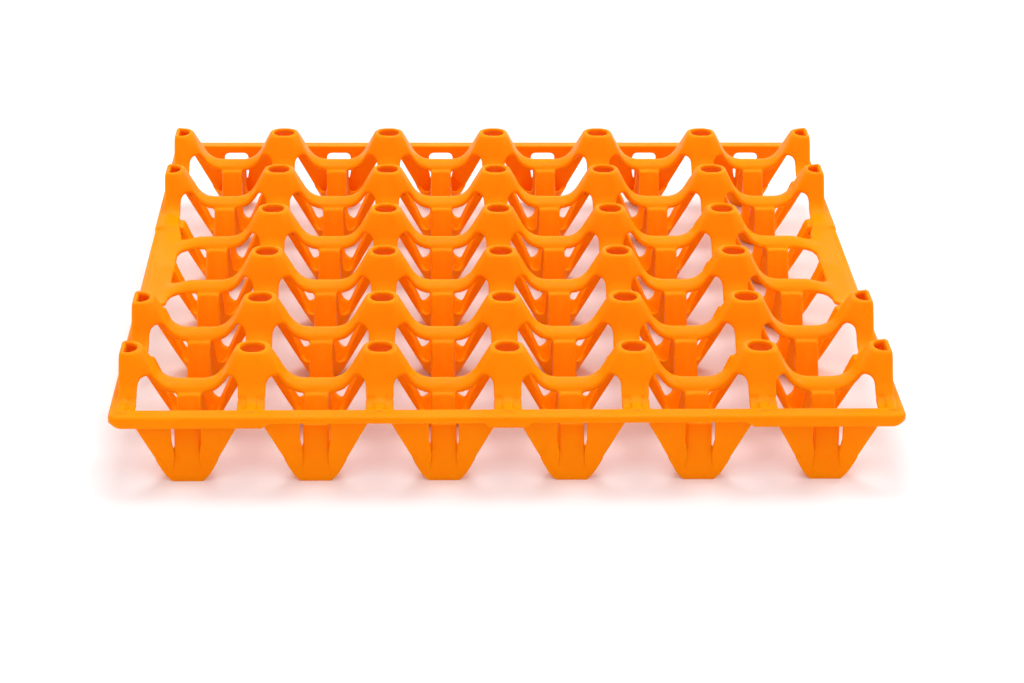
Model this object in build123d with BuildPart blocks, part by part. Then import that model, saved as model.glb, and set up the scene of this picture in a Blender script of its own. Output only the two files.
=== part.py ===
"""Plastic egg tray: one injection moulding, written as its named regions.

+Z is up and the tray stands on z = 0. X runs across its six columns of cells and Y from front to
back over its five rows. Every region meets its neighbours face to face on the lattice planes
through the posts, so that together the regions are the whole moulding, with nothing doubled.
"""
import os

from build123d import *

# Driving dimensions, in millimetres
PITCH = 48.0             # egg cell to egg cell, both ways
COLUMNS = 6              # full cells across
ROWS = 5                 # full cells front to back
HEIGHT = 44.0            # feet to post tops
WEB_TOP = 28.5           # top of the flat web between the cells, and of the rim
WALL = 1.8               # moulded wall
WEB_WIDTH = 10.0         # web band along each lattice line
STRIP_WIDTH = 10.0       # wall strip left between two corner windows
TRAY_SIZE = 300.0        # overall, both ways
TRAY_CORNER = 8.0        # radius of the rim's four corners
END_PANEL_FACE = 145.0   # centre of the tray to the outer face of the end panels

# Cup: a cone that widens upwards from a small stepped foot
FOOT_RADIUS = 6.2
FOOT_STEP_RADIUS = 7.6
FOOT_STEP_HEIGHT = 1.6
CUP_SLOPE = 0.545        # radius gained per millimetre of height
WINDOW_SILL = 8.0        # bottom of the corner windows

# Post: a hollow truncated cone with a hole in its top
POST_TOP_RADIUS = 7.35
POST_HOLE_RADIUS = 4.7
POST_SLOPE = 0.566
WINDOW_HEAD = 36.0       # top of the corner windows, in the post's flank

# Openings in the end panels
HAND_HOLE_WIDTH = 10.0
HAND_HOLE_LOW = 20.0
HAND_HOLE_HIGH = 25.0
SLOT_WIDTH = 1.2
SLOT_LOW = 12.0
SLOT_OFFSET = 5.8        # middle of the panel to the middle of a slot

# Skirt under the rim: deep at the corners and in the middle of each side
SKIRT_LOW = 25.9
SKIRT_DEEP_LOW = 23.9
DEEP_CORNER_LENGTH = 60.0
DEEP_MIDDLE_LENGTH = 15.0

# Derived sizes
HALF = PITCH / 2
WEB_INNER = HALF - WEB_WIDTH / 2
WEB_UNDER = WEB_TOP - WALL
WEB_CORNER = WEB_WIDTH / 4
CUP_WALL = WALL * (1 + CUP_SLOPE**2) ** 0.5
POST_WALL = WALL * (1 + POST_SLOPE**2) ** 0.5
POST_BASE_RADIUS = POST_TOP_RADIUS + POST_SLOPE * (HEIGHT - WEB_UNDER)
POST_RISE = HEIGHT - WEB_UNDER
ROW_LINE = ROWS * HALF              # lattice line of the outermost post rows
SIDE_LINE = COLUMNS * HALF          # lattice line of the half-posts at the sides
EDGE_DEPTH = END_PANEL_FACE - ROW_LINE
ON_BASE = (Align.CENTER, Align.CENTER, Align.MIN)


def cup_radius(height):
    """Outer radius of the cup's cone at a height."""
    return FOOT_STEP_RADIUS + CUP_SLOPE * (height - FOOT_STEP_HEIGHT)


def cup_profile():
    """Half section of a cup, from its axis outwards, drawn on the XZ plane."""
    with BuildSketch(Plane.XZ) as profile:
        with BuildLine():
            Polyline(
                (0, 0),
                (FOOT_RADIUS, 0),
                (FOOT_STEP_RADIUS, FOOT_STEP_HEIGHT),
                (cup_radius(WEB_TOP), WEB_TOP),
                (cup_radius(WEB_TOP) - CUP_WALL, WEB_TOP),
                (cup_radius(WALL) - CUP_WALL, WALL),
                (0, WALL),
                close=True,
            )
        make_face()
    return profile.sketch


def post_shells(corners):
    """Hollow cones on the given lattice points, open underneath and with a hole in the top."""
    with BuildPart() as shells:
        with Locations(*[(x, y, WEB_UNDER) for x, y in corners]):
            Cone(POST_BASE_RADIUS, POST_TOP_RADIUS, POST_RISE, align=ON_BASE)
            Cone(
                POST_BASE_RADIUS - POST_WALL,
                POST_TOP_RADIUS - POST_WALL + POST_SLOPE * WALL,
                POST_RISE - WALL,
                align=ON_BASE,
                mode=Mode.SUBTRACT,
            )
            Cylinder(POST_HOLE_RADIUS, POST_RISE, align=ON_BASE, mode=Mode.SUBTRACT)
    return shells.part


def windowed_cup():
    """A whole cup on the origin: closed at the foot, four strips between corner windows above."""
    with BuildPart() as cup:
        revolve(cup_profile(), axis=Axis.Z)
        with BuildSketch(Plane.XY.offset(WINDOW_SILL)):
            with GridLocations(HALF + STRIP_WIDTH / 2, HALF + STRIP_WIDTH / 2, 2, 2):
                Rectangle(HALF - STRIP_WIDTH / 2, HALF - STRIP_WIDTH / 2)
        extrude(amount=WEB_TOP - WINDOW_SILL, mode=Mode.SUBTRACT)
    return cup.part


def web_frame(corners):
    """The flat web round one cell on the origin, open under the posts on the given corners."""
    with BuildPart() as web:
        with BuildSketch(Plane.XY.offset(WEB_UNDER)):
            Rectangle(PITCH, PITCH)
            RectangleRounded(2 * WEB_INNER, 2 * WEB_INNER, WEB_CORNER, mode=Mode.SUBTRACT)
            with Locations(*corners):
                Circle(POST_BASE_RADIUS - POST_WALL, mode=Mode.SUBTRACT)
        extrude(amount=WALL)
    return web.part


def full_cell(corners):
    """One egg cell on the origin: cup, web and the quarter posts on the given corners."""
    with BuildPart() as cell:
        add(post_shells(corners))
        with BuildSketch(Plane.XY.offset(WEB_UNDER)):
            RectangleRounded(2 * WEB_INNER, 2 * WEB_INNER, WEB_CORNER)
        extrude(amount=WINDOW_HEAD - WEB_UNDER, mode=Mode.SUBTRACT)
        add(web_frame(corners))
        add(windowed_cup())
        Box(PITCH, PITCH, HEIGHT, align=ON_BASE, mode=Mode.INTERSECT)
    return cell.part


def end_panel():
    """The flat panel across a half cup, in the cell's own frame, with its slots and opening."""
    with BuildPart() as panel:
        with BuildSketch(Plane.XZ):
            with BuildLine():
                Polyline(
                    (-FOOT_RADIUS, 0),
                    (FOOT_RADIUS, 0),
                    (FOOT_STEP_RADIUS, FOOT_STEP_HEIGHT),
                    (cup_radius(WEB_UNDER), WEB_UNDER),
                    (cup_radius(WEB_UNDER), WEB_TOP),
                    (-cup_radius(WEB_UNDER), WEB_TOP),
                    (-cup_radius(WEB_UNDER), WEB_UNDER),
                    (-FOOT_STEP_RADIUS, FOOT_STEP_HEIGHT),
                    close=True,
                )
            make_face()
            with Locations((0, (HAND_HOLE_LOW + HAND_HOLE_HIGH) / 2)):
                RectangleRounded(
                    HAND_HOLE_WIDTH - 2 * SLOT_WIDTH,
                    HAND_HOLE_HIGH - HAND_HOLE_LOW,
                    1.5,
                    mode=Mode.SUBTRACT,
                )
            with Locations(
                (-SLOT_OFFSET, (SLOT_LOW + HAND_HOLE_HIGH) / 2),
                (SLOT_OFFSET, (SLOT_LOW + HAND_HOLE_HIGH) / 2),
            ):
                Rectangle(SLOT_WIDTH, HAND_HOLE_HIGH - SLOT_LOW, mode=Mode.SUBTRACT)
        extrude(amount=WALL)
    return panel.part.moved(Location((0, END_PANEL_FACE - ROW_LINE - HALF, 0)))


def edge_cell():
    """The half cell outside the last post row, with the centre of its half cup on the origin."""
    corners = [(-HALF, -HALF), (HALF, -HALF)]
    with BuildPart() as half_cell:
        add(post_shells(corners))
        with BuildSketch(Plane.XY.offset(WEB_UNDER)):
            RectangleRounded(2 * WEB_INNER, 2 * WEB_INNER, WEB_CORNER)
        extrude(amount=WINDOW_HEAD - WEB_UNDER, mode=Mode.SUBTRACT)
        add(web_frame(corners))
        add(windowed_cup())
        with Locations((0, -HALF, 0)):
            Box(
                PITCH,
                EDGE_DEPTH,
                HEIGHT,
                align=(Align.CENTER, Align.MIN, Align.MIN),
                mode=Mode.INTERSECT,
            )
        add(end_panel())
    return half_cell.part


def rim_ring():
    """The whole rim: a flat flange and, along its outer edge, the stepped skirt."""
    with BuildPart() as ring:
        with BuildSketch(Plane.XY.offset(WEB_UNDER)):
            RectangleRounded(TRAY_SIZE, TRAY_SIZE, TRAY_CORNER)
            Rectangle(2 * SIDE_LINE, 2 * END_PANEL_FACE, mode=Mode.SUBTRACT)
        extrude(amount=WALL)
        with BuildSketch(Plane.XY.offset(SKIRT_LOW)):
            RectangleRounded(TRAY_SIZE, TRAY_SIZE, TRAY_CORNER)
            inside = TRAY_SIZE - 2 * WALL
            RectangleRounded(inside, inside, TRAY_CORNER - WALL, mode=Mode.SUBTRACT)
        extrude(amount=WEB_TOP - SKIRT_LOW)
        with BuildSketch(Plane.XY.offset(SKIRT_DEEP_LOW)):
            RectangleRounded(TRAY_SIZE, TRAY_SIZE, TRAY_CORNER)
            RectangleRounded(inside, inside, TRAY_CORNER - WALL, mode=Mode.SUBTRACT)
            shallow = (TRAY_SIZE - 2 * DEEP_CORNER_LENGTH - DEEP_MIDDLE_LENGTH) / 2
            middle = (DEEP_MIDDLE_LENGTH + shallow) / 2
            with Locations((-middle, 0), (middle, 0)):
                Rectangle(shallow, TRAY_SIZE, mode=Mode.SUBTRACT)
            with Locations((0, -middle), (0, middle)):
                Rectangle(TRAY_SIZE, shallow, mode=Mode.SUBTRACT)
        extrude(amount=WEB_TOP - SKIRT_DEEP_LOW)
    return ring.part


def end_rim():
    """The back length of the rim, corner to corner."""
    with BuildPart() as rim:
        add(rim_ring())
        with Locations((0, END_PANEL_FACE, 0)):
            Box(
                TRAY_SIZE,
                HALF,
                HEIGHT,
                align=(Align.CENTER, Align.MIN, Align.MIN),
                mode=Mode.INTERSECT,
            )
    return rim.part


def side_rim():
    """The right length of the rim, with the flat walls that close the half-posts."""
    with BuildPart() as rim:
        add(rim_ring())
        with Locations((SIDE_LINE, 0, 0)):
            Box(
                HALF,
                2 * END_PANEL_FACE,
                HEIGHT,
                align=(Align.MIN, Align.CENTER, Align.MIN),
                mode=Mode.INTERSECT,
            )
        with BuildSketch(Plane.YZ.offset(SIDE_LINE)):
            for post_y in (-ROW_LINE, PITCH - ROW_LINE, ROW_LINE - PITCH, ROW_LINE):
                with BuildLine():
                    Polyline(
                        (post_y - POST_BASE_RADIUS, WEB_UNDER),
                        (post_y + POST_BASE_RADIUS, WEB_UNDER),
                        (post_y + POST_TOP_RADIUS, HEIGHT),
                        (post_y - POST_TOP_RADIUS, HEIGHT),
                        close=True,
                    )
                make_face()
        extrude(amount=WALL)
    return rim.part


def cell_corners(row, column):
    """Corners of a cell that carry a post; the two hand grips at the sides carry none."""
    corners = [(x, y) for x in (-HALF, HALF) for y in (-HALF, HALF)]
    centre_x = (column + 0.5) * PITCH - SIDE_LINE
    centre_y = (row + 0.5) * PITCH - ROW_LINE
    kept = []
    for x, y in corners:
        at_side = abs(centre_x + x) == SIDE_LINE
        in_grip = abs(centre_y + y) == HALF
        if not (at_side and in_grip):
            kept.append((x, y))
    return tuple(kept)


def write(solid, name):
    """Label one region and write it as its own STEP file."""
    solid.label = name
    export_step(solid, f"parts/{name}.step")


os.makedirs("parts", exist_ok=True)
cells = {}
for row in range(ROWS):
    for column in range(COLUMNS):
        corners = cell_corners(row, column)
        if corners not in cells:
            cells[corners] = full_cell(corners)
        centre = Location(((column + 0.5) * PITCH - SIDE_LINE, (row + 0.5) * PITCH - ROW_LINE, 0))
        write(cells[corners].moved(centre), f"cell_r{row + 1}_c{column + 1}")

half_cell = edge_cell()
for column in range(COLUMNS):
    centre_x = (column + 0.5) * PITCH - SIDE_LINE
    behind = Location((centre_x, ROW_LINE + HALF, 0))
    in_front = Location((centre_x, -ROW_LINE - HALF, 0), (0, 0, 180))
    write(half_cell.moved(behind), f"back_leg_{column + 1}")
    write(half_cell.moved(in_front), f"front_leg_{column + 1}")

back_rim = end_rim()
write(back_rim, "back_rim")
write(back_rim.moved(Location((0, 0, 0), (0, 0, 180))), "front_rim")
right_rim = side_rim()
write(right_rim, "right_rim")
write(right_rim.moved(Location((0, 0, 0), (0, 0, 180))), "left_rim")
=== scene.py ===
"""Looks of the plastic egg tray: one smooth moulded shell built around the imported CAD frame.

The shell is described once, as a signed distance in millimetres (negative inside the plastic),
and then turned into one continuous mesh that stands for every region of the CAD model.
"""
import math

import bpy
import numpy as np
from mathutils import Matrix, Vector


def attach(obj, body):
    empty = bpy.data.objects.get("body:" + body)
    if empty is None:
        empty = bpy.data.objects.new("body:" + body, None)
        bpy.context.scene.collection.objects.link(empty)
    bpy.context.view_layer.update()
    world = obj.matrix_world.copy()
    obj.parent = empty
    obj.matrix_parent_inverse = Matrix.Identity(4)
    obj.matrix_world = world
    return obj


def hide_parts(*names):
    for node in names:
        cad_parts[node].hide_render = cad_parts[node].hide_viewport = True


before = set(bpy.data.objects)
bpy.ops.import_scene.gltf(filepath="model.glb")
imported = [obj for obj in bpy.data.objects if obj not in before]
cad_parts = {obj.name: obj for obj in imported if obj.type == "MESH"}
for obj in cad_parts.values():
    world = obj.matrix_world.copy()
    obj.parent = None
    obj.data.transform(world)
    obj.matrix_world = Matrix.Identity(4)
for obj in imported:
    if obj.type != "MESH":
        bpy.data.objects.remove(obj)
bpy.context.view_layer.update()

# Lattice, in millimetres: cups stand at the cell centres and posts on the lattice points
MM = 0.001
PITCH = 48.0
HALF = PITCH / 2
SIDE_LINE = 3 * PITCH        # lattice line of the half-posts at the sides
PANEL_FACE = 145.0           # outer face of the panels that close the half cups
HEIGHT = 44.0
WALL = 1.8

# Fillets: the length over which two surfaces blend where they meet
FLUSH = 0.4                  # where a wall ends on a flat plane
INNER = 0.5                  # along the inner edges of a thin shell
SHARP = 0.1                  # between two faces that never meet
LATTICE_JOIN = 1.2           # ridges to cups
EDGE_JOIN = 0.8              # rim to end panels and side walls
RIM_JOIN = 1.0               # cells to rim

# Posts
POST_TOP_RADIUS = 7.35
POST_RADIUS_DEPTH = 1.0      # how far under its top a post has that radius
POST_SLOPE = 0.566
POST_COS = 1 / math.hypot(1, POST_SLOPE)
POST_FLAT = 0.91             # how far out the four flats of a post stand, as a share of its radius
POST_FLAT_EDGE = 0.8
POST_TOP_EDGE = 1.2
POST_ROOT = 6.0
POST_HOLE_RADIUS = 4.7
POST_HOLE_EDGE = 0.6

# Ridges between the posts, and the arched windows beside them
CREST_TOP = 30.5
CREST_DROP = 2.2             # how much lower a ridge is at its shoulder than along its crest
SHOULDER_END = 1.5           # where the shoulder stops falling, in half widths of the ridge
BAND_HALF = 5.2
ARCH_TOP = 36.6
WINDOW_CORNER = 5.0
WINDOW_EDGE = 0.9
SIDE_RISE = (126, 141)       # where the ridges change to the height of the side rims
END_STEP = (129, 131.5)      # where a post's foot steps down to its ledge by the front or back rim
END_LEDGE_TOP = 29.3
END_RIB = (134.2, 135.4)     # where that ledge gives way to a narrow rib
END_RIB_HALF = (1.5, 2.5)
END_RIB_RAISE = 0.4
CELL_OVERLAP = 0.5           # how far the cells run into the side walls

# Hand grips: the low stretch in the middle of each side
GRIP_HALF = 41.0
GRIP_DROP = 1.2
GRIP_BAND = 7.5              # width of the smooth band inside the low stretch
GRIP_FALL = 0.04             # how fast that band falls towards the cells
GRIP_CREST_END = (GRIP_HALF - 4, GRIP_HALF + 2)
GRIP_BAND_END = (GRIP_HALF - 6, GRIP_HALF + 6)
GRIP_RIM_END = (GRIP_HALF - 1, GRIP_HALF + 1)

# Cups
CUP_FOOT_RADIUS = 6.7
CUP_SLOPE = 0.55
CUP_COS = 1 / math.hypot(1, CUP_SLOPE)
CUP_EDGE = 0.8
CUP_FLOOR_FILLET = 1.5
SILL = 8.4
SILL_CORNER = 3.0
WING = 0.5                   # how much wider than a strip the cup's wall beside it is, low down
WING_NARROWS = (10, 24)
FOOT_PAD_RADIUS = 5.6
FOOT_FLARE = 1.0
FOOT_COS = 0.75
FOOT_EDGE = 0.6

# Strips: four in each cup, from its foot up to the ridges
STRIP_HALF = 4.5
STRIP_FLARE = 1.2            # how much wider a strip is at its foot
STRIP_NARROWS = (2, 9)
STRIP_RAISE = 0.4            # how far a strip stands in from the cup's wall at its foot
STRIP_RAISE_FROM = 10
STRIP_EDGE = 0.7
STRIP_GAP = 1.0              # how far short of the lattice line a strip stops
STRIP_END_EDGE = 0.9
STRIP_JOIN = 0.6
LEDGE_RAISE = 2.6            # how far it stands in at its top, where it ends in a ledge
LEDGE_TOP = 27.5
LEDGE_EDGE = 1.0

# End panels, and the leaf that leans in between the two slots of each
PANEL_FOOT_EDGE = 0.3
PANEL_SIDE_EDGE = 0.8
PANEL_END_EDGE = 0.6
SLOT_MIDDLE = 13.2
SLOT_HALF_HEIGHT = 12.0
SLOT_CORNER = 2.6
LEAF_HALF = 4.6
LEAF_FLARE = 1.4             # how much wider a leaf is at its foot
LEAF_NARROWS = (0, 12)
LEAF_GAP = 1.2
LEAF_GAP_OPENS = (10, 16)
LEAF_OVERLAP = 0.25          # how far the leaf runs into the panel below its slots
LEAF_LEAN = 0.17
LEAF_LEAN_FROM = 3
LEAF_FOOT = 1.0
LEAF_TOP = 21.8
LEAF_SIDE_EDGE = 0.6
LEAF_END_EDGE = 0.8
LEAF_JOIN = 0.3

# Rim: a flange with a skirt that is deep at the corners and mid-side
RIM_OUT_X = 148.5            # outer face of the rim at the sides
RIM_OUT_Y = 150.0            # and at the front and back
RIM_TOP = 28.5
RIM_CORNER = 4.5
RIM_TOP_EDGE = 1.4
RIM_INNER_FILLET = 1.0
RIM_INSET = 1.5              # how far the flange reaches in past the walls
SKIRT_LOW = 25.9
SKIRT_DEEP_LOW = 23.9
SKIRT_EDGE = 0.9
DEEP_CORNER = (88, 92)
DEEP_MIDDLE = (7, 9)
CORNER_LIFT = 1.8            # how much the skirt rises again round the corners
CORNER_LIFT_AT = (143, 150)

# Meshing
FAR = np.float32(50)         # a distance that is never the smallest
VOXEL = 0.75
MARGIN = 1.5                 # grid kept clear outside the tray
OFF_GRID = 0.01              # keeps flat faces from lying exactly on a grid plane while meshing
SLOPE_REACH = 0.05
LEAST_STEEPNESS = 0.25
TINY = 1e-9
TRIANGLES = 190000

# Colours, floor and camera, in metres and degrees
ORANGE_DEEP = (1.0, 0.238, 0.0, 1)
ORANGE_LIGHT = (1.0, 0.268, 0.0, 1)
PAPER_WHITE = (0.90, 0.88, 0.89, 1)
SKY_AT_HORIZON = 0.48
SKY_OVERHEAD = 1.48
FLOOR_HALF_WIDTH = 4.0
FLOOR_FRONT = -3.0
FLOOR_BACK = 1.2
BEND_RADIUS = 1.0
BEND_STEPS = 12
BACKDROP_TOP = 4.0
CAMERA_PLACE = (-0.0284, -1.0367, 0.4567)
CAMERA_PITCH = 24.13
CAMERA_YAW = -1.89
CAMERA_ROLL = 0.63


def smooth_min(a, b, blend):
    """The smaller of two distances, with their meeting line filleted over the blend length."""
    share = np.clip(0.5 + 0.5 * (b - a) / blend, 0, 1)
    return b + (a - b) * share - blend * share * (1 - share)


def smooth_max(a, b, blend):
    """The larger of two distances, with the same kind of fillet."""
    return -smooth_min(-a, -b, blend)


def rise(value, low, high):
    """0 below low, 1 above high and a straight rise between."""
    return np.clip((value - low) / (high - low), 0, 1)


def fall(value, low, high):
    """1 below low, 0 above high and a straight fall between."""
    return np.clip((high - value) / (high - low), 0, 1)


def ramp(value, low, high):
    """0 below low, 1 above high and a smooth rise between."""
    share = rise(value, low, high)
    return share * share * (3 - 2 * share)


def without_post(x, y):
    """True round the two lattice points at each side that carry no half-post."""
    return (np.abs(x) > SIDE_LINE - HALF) & (np.abs(y) < PITCH)


def crest_height(du, dv, x, y):
    """Height of a ridge's top at a distance from its lattice line; lower at the hand grips."""
    across = np.minimum(du, dv)
    top = CREST_TOP - CREST_DROP * np.clip(across / BAND_HALF, 0, SHOULDER_END) ** 2
    at_side = ramp(np.abs(x), *SIDE_RISE)
    top = top + at_side * (RIM_TOP - top)
    step = ramp(np.abs(y), *END_STEP)
    top = top + step * (END_LEDGE_TOP - top)
    rib = RIM_TOP - END_RIB_RAISE + 2 * END_RIB_RAISE * (1 - ramp(np.abs(du), *END_RIB_HALF))
    top = top + ramp(np.abs(y), *END_RIB) * (rib - top)
    in_grip = 1 - ramp(np.abs(y), *GRIP_CREST_END)
    return top - in_grip * at_side * (GRIP_DROP + GRIP_FALL * np.maximum(SIDE_LINE - np.abs(x), 0))


def solid_top(u, v, x, y, z):
    """Everything under the posts' and ridges' upper surface, taken as solid."""
    du = HALF - u
    dv = HALF - v
    flats = np.maximum(du, dv) / POST_FLAT
    round_radius = smooth_max(np.hypot(du, dv), flats, POST_FLAT_EDGE)
    post_radius = POST_TOP_RADIUS + POST_SLOPE * (HEIGHT - POST_RADIUS_DEPTH - z)
    post = smooth_max((round_radius - post_radius) * POST_COS, z - HEIGHT, POST_TOP_EDGE)
    post = np.where(without_post(x, y), FAR, post)
    web = z - crest_height(du, dv, x, y)
    return smooth_min(post, web, POST_ROOT)


def top_shell(u, v, x, y, z):
    """Hollow posts and ridges, with the arched windows between them cut away."""
    solid = solid_top(u, v, x, y, z)
    shell = smooth_max(solid, -(solid + WALL), INNER)
    hole = np.hypot(HALF - u, HALF - v) - POST_HOLE_RADIUS
    hole = np.where(without_post(x, y), FAR, hole)
    shell = smooth_max(shell, -hole, POST_HOLE_EDGE)
    inner = HALF - BAND_HALF
    beside_grip = 1 - ramp(np.abs(y), *GRIP_BAND_END)
    beside_grip = np.where(np.abs(x) > SIDE_LINE - HALF, beside_grip, 0)
    inner_u = inner + beside_grip * (BAND_HALF - GRIP_BAND)
    window = smooth_max(u - inner_u, v - inner, WINDOW_CORNER)
    window = smooth_max(window, z - ARCH_TOP, WINDOW_CORNER)
    return smooth_max(shell, -window, WINDOW_EDGE)


def foot_flare(distance, z):
    """Distance to the chamfer round a foot, from the distance to the foot's middle."""
    return (distance - (FOOT_PAD_RADIUS + FOOT_FLARE * z)) * FOOT_COS


def cup_bowl(radius, beside, cone, z):
    """The thin cone of a cup, closed at its foot and cut down to a sill between the strips."""
    outer = smooth_max(smooth_max(cone, -z, CUP_EDGE), foot_flare(radius, z), FOOT_EDGE)
    inner = smooth_max(cone + WALL, WALL - z, CUP_FLOOR_FILLET)
    bowl = smooth_max(outer, -inner, INNER)
    wing = STRIP_HALF + WING * fall(z, *WING_NARROWS)
    above_sill = smooth_min(beside - wing, z - SILL, SILL_CORNER)
    bowl = smooth_max(bowl, above_sill, CUP_EDGE)
    return smooth_max(bowl, z - LEDGE_TOP + WALL, CUP_EDGE)


def cup_strip(radius, beside, cone, z):
    """The strips of a cup, which stand in from its wall and end in a ledge under the ridges."""
    raised = STRIP_RAISE + (LEDGE_RAISE - STRIP_RAISE) * rise(z, STRIP_RAISE_FROM, LEDGE_TOP)
    seat = smooth_max(-(cone + WALL + raised), z - LEDGE_TOP, LEDGE_EDGE)
    strip = smooth_max(seat, -(seat + WALL), INNER)
    half_width = STRIP_HALF + STRIP_FLARE * fall(z, *STRIP_NARROWS)
    strip = smooth_max(strip, beside - half_width, STRIP_EDGE)
    strip = smooth_max(strip, radius - HALF + STRIP_GAP, STRIP_END_EDGE)
    return smooth_max(strip, -z, INNER)


def cup_shell(u, v, y, z):
    """A cup with its strips; a half cup has no strips along the front or back panel."""
    radius = np.hypot(u, v)
    cone = (radius - (CUP_FOOT_RADIUS + CUP_SLOPE * z)) * CUP_COS
    open_end = np.abs(y) > PANEL_FACE - HALF
    beside = np.where(open_end, u, np.minimum(u, v))
    bowl = cup_bowl(radius, beside, cone, z)
    return smooth_min(bowl, cup_strip(radius, beside, cone, z), STRIP_JOIN)


def end_plate(across, x, y, z):
    """The flat panel that closes a half cup, down to its foot."""
    plate = smooth_max(np.abs(y) - PANEL_FACE, PANEL_FACE - WALL - np.abs(y), FLUSH)
    sides = (across - (CUP_FOOT_RADIUS + CUP_SLOPE * z)) * CUP_COS
    sides = smooth_max(sides, foot_flare(across, z), PANEL_FOOT_EDGE)
    plate = smooth_max(plate, sides, PANEL_SIDE_EDGE)
    plate = smooth_max(plate, smooth_max(-z, z - RIM_TOP, SHARP), PANEL_END_EDGE)
    return smooth_max(plate, np.abs(x) - SIDE_LINE, FLUSH)


def end_panel(u, x, y, z):
    """A panel with its opening, and the leaf that leans in through the opening."""
    across = np.abs(u)
    leaf_half = LEAF_HALF + LEAF_FLARE * fall(z, *LEAF_NARROWS)
    gap = LEAF_GAP * rise(z, *LEAF_GAP_OPENS) - LEAF_OVERLAP
    slot_ends = np.abs(z - SLOT_MIDDLE) - SLOT_HALF_HEIGHT
    opening = smooth_max(across - leaf_half - gap, slot_ends, SLOT_CORNER)
    plate = smooth_max(end_plate(across, x, y, z), -opening, INNER)
    lean = LEAF_LEAN * np.maximum(z - LEAF_LEAN_FROM, 0)
    leaf = np.abs(np.abs(y) - (PANEL_FACE - WALL / 2 - lean)) - WALL / 2
    leaf = smooth_max(leaf, across - leaf_half, LEAF_SIDE_EDGE)
    leaf = smooth_max(leaf, smooth_max(z - LEAF_TOP, LEAF_FOOT - z, SHARP), LEAF_END_EDGE)
    return smooth_min(plate, leaf, LEAF_JOIN)


def rim_outline(x, y):
    """Distance to the tray's outline in plan, a rectangle with rounded corners."""
    dx = np.abs(x) - RIM_OUT_X + RIM_CORNER
    dy = np.abs(y) - RIM_OUT_Y + RIM_CORNER
    outside = np.hypot(np.maximum(dx, 0), np.maximum(dy, 0))
    return outside + np.minimum(np.maximum(dx, dy), 0) - RIM_CORNER


def rim(x, y, z):
    """Flange and skirt round the tray."""
    along = np.abs(np.where(np.abs(y) > np.abs(x), x, y))
    deep = np.maximum(ramp(along, *DEEP_CORNER), 1 - ramp(along, *DEEP_MIDDLE))
    low = SKIRT_LOW + (SKIRT_DEEP_LOW - SKIRT_LOW) * deep + CORNER_LIFT * ramp(along, *CORNER_LIFT_AT)
    at_side = np.abs(x) > np.abs(y)
    in_grip = np.where(at_side, 1 - ramp(np.abs(y), *GRIP_RIM_END), 0)
    top = RIM_TOP - GRIP_DROP * in_grip
    outline = rim_outline(x, y)
    slab = smooth_max(outline, z - top, RIM_TOP_EDGE)
    hollow = smooth_max(outline + WALL, z - top + WALL, RIM_INNER_FILLET)
    body = smooth_max(slab, -hollow, FLUSH)
    body = smooth_max(body, low - z, SKIRT_EDGE)
    inside = np.maximum(np.abs(x) - SIDE_LINE + RIM_INSET, np.abs(y) - PANEL_FACE + RIM_INSET)
    return smooth_max(body, -inside, FLUSH)


def side_wall(u, v, x, y, z):
    """The flat wall that closes each half-post at the tray's sides."""
    solid = solid_top(u, v, np.minimum(np.abs(x), SIDE_LINE), y, z)
    wall = smooth_max(np.abs(x) - SIDE_LINE - WALL, SIDE_LINE - np.abs(x), FLUSH)
    wall = smooth_max(wall, solid, POST_TOP_EDGE)
    wall = smooth_max(wall, np.abs(y) - PANEL_FACE, FLUSH)
    return smooth_max(wall, RIM_TOP - WALL - z, FLUSH)


def tray_distance(x, y, z):
    """Signed distance to the tray's plastic."""
    u = np.abs(np.mod(x, PITCH) - HALF)
    v = np.abs(np.mod(y + HALF, PITCH) - HALF)
    lattice = smooth_min(top_shell(u, v, x, y, z), cup_shell(u, v, y, z), LATTICE_JOIN)
    limits = smooth_max(np.abs(x) - SIDE_LINE - CELL_OVERLAP, np.abs(y) - PANEL_FACE, FLUSH)
    lattice = smooth_max(lattice, limits, FLUSH)
    edge = smooth_min(rim(x, y, z), end_panel(u, x, y, z), EDGE_JOIN)
    edge = smooth_min(edge, side_wall(u, v, x, y, z), EDGE_JOIN)
    return smooth_min(lattice, edge, RIM_JOIN)


def sample_axis(half_length):
    """Grid planes set symmetrically about the tray's middle."""
    count = math.ceil(half_length / VOXEL)
    return (np.arange(-count, count + 1) * VOXEL).astype(np.float32)


def surface_net(values, axes):
    """A quad mesh of the zero level: one vertex in every grid cell that the surface crosses."""
    shape = tuple(n - 1 for n in values.shape)
    cells = math.prod(shape)
    total = np.zeros((cells, 3))
    crossings = np.zeros(cells)
    quads = []
    for axis in range(3):
        first = np.delete(values, -1, axis)
        second = np.delete(values, 0, axis)
        crossed = (first < 0) != (second < 0)
        where = np.argwhere(crossed)
        before = first[crossed]
        point = where.astype(float)
        point[:, axis] += before / (before - second[crossed])
        around = []
        side, other = [k for k in range(3) if k != axis]
        for i, j in ((0, 0), (1, 0), (1, 1), (0, 1)):
            cell = where.copy()
            cell[:, side] -= i
            cell[:, other] -= j
            number = np.ravel_multi_index(tuple(cell.T), shape)
            crossings += np.bincount(number, minlength=cells)
            for k in range(3):
                total[:, k] += np.bincount(number, weights=point[:, k], minlength=cells)
            around.append(number)
        quad = np.stack(around, axis=1)
        turned = (before > 0) ^ (axis == 1)
        quad[turned] = quad[turned][:, ::-1]
        quads.append(quad)
    quads = np.concatenate(quads)
    used = np.unique(quads)
    middle = total[used] / crossings[used][:, None]
    start = np.array([axis[0] for axis in axes])
    return middle * VOXEL + start, np.searchsorted(used, quads)


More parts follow.
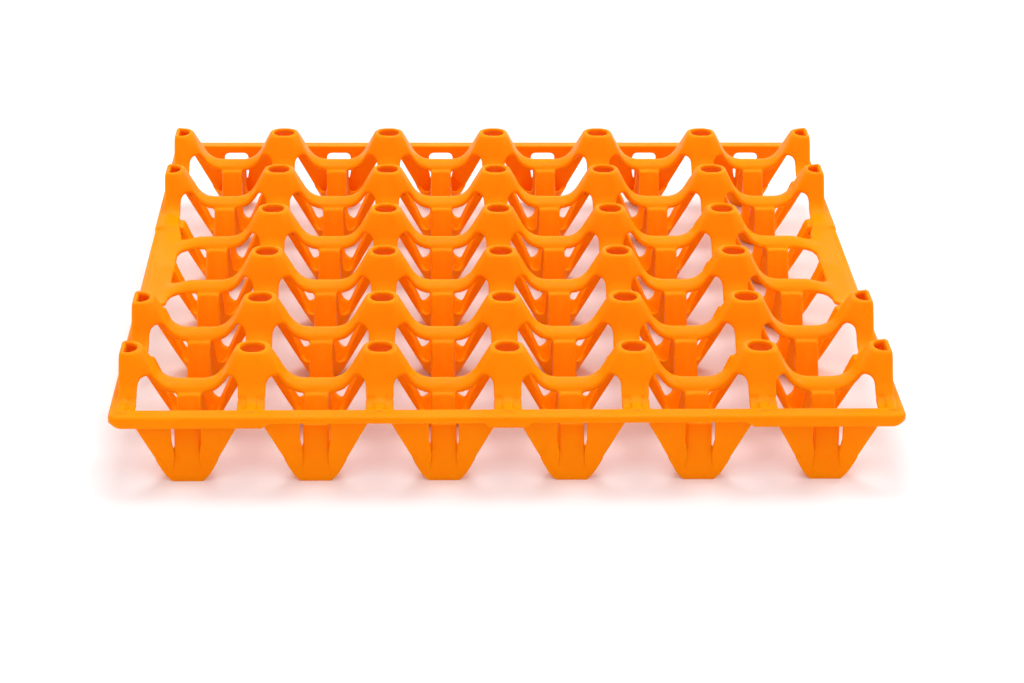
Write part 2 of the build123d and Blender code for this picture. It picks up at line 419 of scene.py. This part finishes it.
def gradient(points):
    """Slope of the distance at each point, by central differences."""
    slope = np.empty_like(points)
    for axis in range(3):
        ahead = points.copy()
        behind = points.copy()
        ahead[:, axis] += SLOPE_REACH
        behind[:, axis] -= SLOPE_REACH
        slope[:, axis] = (tray_distance(*ahead.T) - tray_distance(*behind.T)) / (2 * SLOPE_REACH)
    return slope


def settle(points, rounds):
    """Move points along the slope, half a voxel at most in a round, towards the surface."""
    for _ in range(rounds):
        slope = gradient(points)
        steepness = np.maximum((slope**2).sum(axis=1), LEAST_STEEPNESS)
        move = (tray_distance(*points.T) / steepness)[:, None] * slope
        length = np.maximum(np.linalg.norm(move, axis=1), TINY)[:, None]
        points = points - move * np.minimum(1, 0.5 * VOXEL / length)
    return points


def tray_mesh():
    """The whole tray as one mesh object, in metres."""
    across = sample_axis(RIM_OUT_Y + MARGIN)
    upright = np.arange(-MARGIN, HEIGHT + MARGIN + 0.1, VOXEL).astype(np.float32)
    x, y, z = np.meshgrid(across, across, upright, indexing="ij", sparse=True)
    values = tray_distance(x, y, z).astype(np.float32) + OFF_GRID
    points, quads = surface_net(values, (across, across, upright))
    points = settle(points.astype(np.float64), 3)

    mesh = bpy.data.meshes.new("tray_shell")
    mesh.from_pydata((points * MM).tolist(), [], quads.tolist())
    tray = bpy.data.objects.new("tray_shell", mesh)
    bpy.context.collection.objects.link(tray)
    return tray


def mesh_points(mesh):
    """A mesh's vertices in millimetres."""
    points = np.empty(len(mesh.vertices) * 3)
    mesh.vertices.foreach_get("co", points)
    return points.reshape(-1, 3) / MM


def thin_out(tray):
    """Fewer triangles where the surface is flat, then back onto the true surface."""
    triangles = 2 * len(tray.data.polygons)
    modifier = tray.modifiers.new("thin_out", "DECIMATE")
    modifier.ratio = min(1.0, TRIANGLES / triangles)
    evaluated = tray.evaluated_get(bpy.context.evaluated_depsgraph_get())
    mesh = bpy.data.meshes.new_from_object(evaluated)
    tray.modifiers.clear()
    tray.data = mesh
    points = settle(mesh_points(mesh), 2)
    mesh.vertices.foreach_set("co", (points * MM).ravel())
    mesh.update()


def smooth_normals(mesh):
    """Shade every vertex by the slope of the exact surface."""
    slope = gradient(mesh_points(mesh))
    slope /= np.maximum(np.linalg.norm(slope, axis=1), TINY)[:, None]
    mesh.polygons.foreach_set("use_smooth", [True] * len(mesh.polygons))
    mesh.normals_split_custom_set_from_vertices(slope.tolist())


def orange_plastic():
    """Satin, slightly translucent orange plastic with a fine moulded texture."""
    material = bpy.data.materials.new("orange_plastic")
    material.use_nodes = True
    nodes = material.node_tree.nodes
    links = material.node_tree.links
    shader = nodes["Principled BSDF"]
    place = nodes.new("ShaderNodeTexCoord")

    cloud = nodes.new("ShaderNodeTexNoise")
    cloud.inputs["Scale"].default_value = 28.0
    cloud.inputs["Detail"].default_value = 4.0
    links.new(place.outputs["Object"], cloud.inputs["Vector"])
    tint = nodes.new("ShaderNodeValToRGB")
    tint.color_ramp.elements[0].position = 0.3
    tint.color_ramp.elements[0].color = ORANGE_DEEP
    tint.color_ramp.elements[1].position = 0.7
    tint.color_ramp.elements[1].color = ORANGE_LIGHT
    links.new(cloud.outputs["Fac"], tint.inputs["Fac"])
    links.new(tint.outputs["Color"], shader.inputs["Base Color"])

    grain = nodes.new("ShaderNodeTexNoise")
    grain.inputs["Scale"].default_value = 900.0
    grain.inputs["Detail"].default_value = 2.0
    links.new(place.outputs["Object"], grain.inputs["Vector"])
    rough = nodes.new("ShaderNodeMapRange")
    rough.inputs["To Min"].default_value = 0.27
    rough.inputs["To Max"].default_value = 0.40
    links.new(grain.outputs["Fac"], rough.inputs["Value"])
    links.new(rough.outputs["Result"], shader.inputs["Roughness"])
    bump = nodes.new("ShaderNodeBump")
    bump.inputs["Strength"].default_value = 0.12
    bump.inputs["Distance"].default_value = 0.0002
    links.new(grain.outputs["Fac"], bump.inputs["Height"])
    links.new(bump.outputs["Normal"], shader.inputs["Normal"])

    shader.inputs["Subsurface Weight"].default_value = 0.4
    shader.inputs["Subsurface Radius"].default_value = (1.0, 0.35, 0.05)
    shader.inputs["Subsurface Scale"].default_value = 0.006
    shader.inputs["IOR"].default_value = 1.4
    shader.inputs["Specular IOR Level"].default_value = 0.05
    return material


def floor_material():
    """Matt white paper."""
    material = bpy.data.materials.new("white_floor")
    material.use_nodes = True
    shader = material.node_tree.nodes["Principled BSDF"]
    shader.inputs["Base Color"].default_value = PAPER_WHITE
    shader.inputs["Roughness"].default_value = 0.75
    return material


def make_floor():
    """A white floor that curves up into the backdrop far behind the tray."""
    profile = [(FLOOR_FRONT, 0.0), (FLOOR_BACK, 0.0)]
    for step in range(1, BEND_STEPS + 1):
        angle = math.radians(90 * step / BEND_STEPS)
        y = FLOOR_BACK + BEND_RADIUS * math.sin(angle)
        profile.append((y, BEND_RADIUS - BEND_RADIUS * math.cos(angle)))
    profile.append((FLOOR_BACK + BEND_RADIUS, BACKDROP_TOP))
    points = []
    faces = []
    for y, z in profile:
        points += [(-FLOOR_HALF_WIDTH, y, z), (FLOOR_HALF_WIDTH, y, z)]
    for k in range(len(profile) - 1):
        faces.append((2 * k, 2 * k + 1, 2 * k + 3, 2 * k + 2))
    mesh = bpy.data.meshes.new("floor")
    mesh.from_pydata(points, [], faces)
    mesh.polygons.foreach_set("use_smooth", [True] * len(faces))
    mesh.materials.append(floor_material())
    floor = bpy.data.objects.new("floor", mesh)
    bpy.context.collection.objects.link(floor)


def add_light(name, place, size, power):
    """A square soft light that looks at the tray."""
    light = bpy.data.lights.new(name, "AREA")
    light.size = size
    light.energy = power
    lamp = bpy.data.objects.new(name, light)
    lamp.location = place
    aim = Vector((0, 0, 0.02)) - Vector(place)
    lamp.rotation_euler = aim.to_track_quat("-Z", "Y").to_euler()
    bpy.context.collection.objects.link(lamp)


def light_scene():
    """White light from all round, brightest overhead, and two soft lights above and behind."""
    scene = bpy.context.scene
    world = bpy.data.worlds.new("white_room")
    scene.world = world
    world.use_nodes = True
    nodes = world.node_tree.nodes
    links = world.node_tree.links
    sky = nodes["Background"]
    sky.inputs["Color"].default_value = (1.0, 1.0, 1.0, 1)
    place = nodes.new("ShaderNodeTexCoord")
    split = nodes.new("ShaderNodeSeparateXYZ")
    strength = nodes.new("ShaderNodeMapRange")
    strength.inputs["From Min"].default_value = 0.0
    strength.inputs["To Min"].default_value = SKY_AT_HORIZON
    strength.inputs["To Max"].default_value = SKY_OVERHEAD
    links.new(place.outputs["Generated"], split.inputs["Vector"])
    links.new(split.outputs["Z"], strength.inputs["Value"])
    links.new(strength.outputs["Result"], sky.inputs["Strength"])
    add_light("overhead", (0.0, 0.35, 0.9), size=0.5, power=3.5)
    add_light("right_back", (0.9, 0.5, 0.7), size=0.35, power=2.5)
    scene.view_settings.view_transform = "Standard"


def add_camera():
    """A long lens a little above the tray's front edge."""
    camera = bpy.data.cameras.new("camera")
    camera.lens = 93.5
    camera.sensor_width = 36.0
    viewer = bpy.data.objects.new("camera", camera)
    turn = Matrix.Rotation(math.radians(CAMERA_YAW), 4, "Z")
    tilt = Matrix.Rotation(math.pi / 2 - math.radians(CAMERA_PITCH), 4, "X")
    roll = Matrix.Rotation(math.radians(CAMERA_ROLL), 4, "Z")
    viewer.matrix_world = Matrix.Translation(CAMERA_PLACE) @ (turn @ tilt) @ roll
    bpy.context.collection.objects.link(viewer)
    bpy.context.scene.camera = viewer


tray = tray_mesh()
thin_out(tray)
smooth_normals(tray.data)
tray.data.materials.append(orange_plastic())
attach(tray, "root")
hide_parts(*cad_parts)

make_floor()
light_scene()
add_camera()
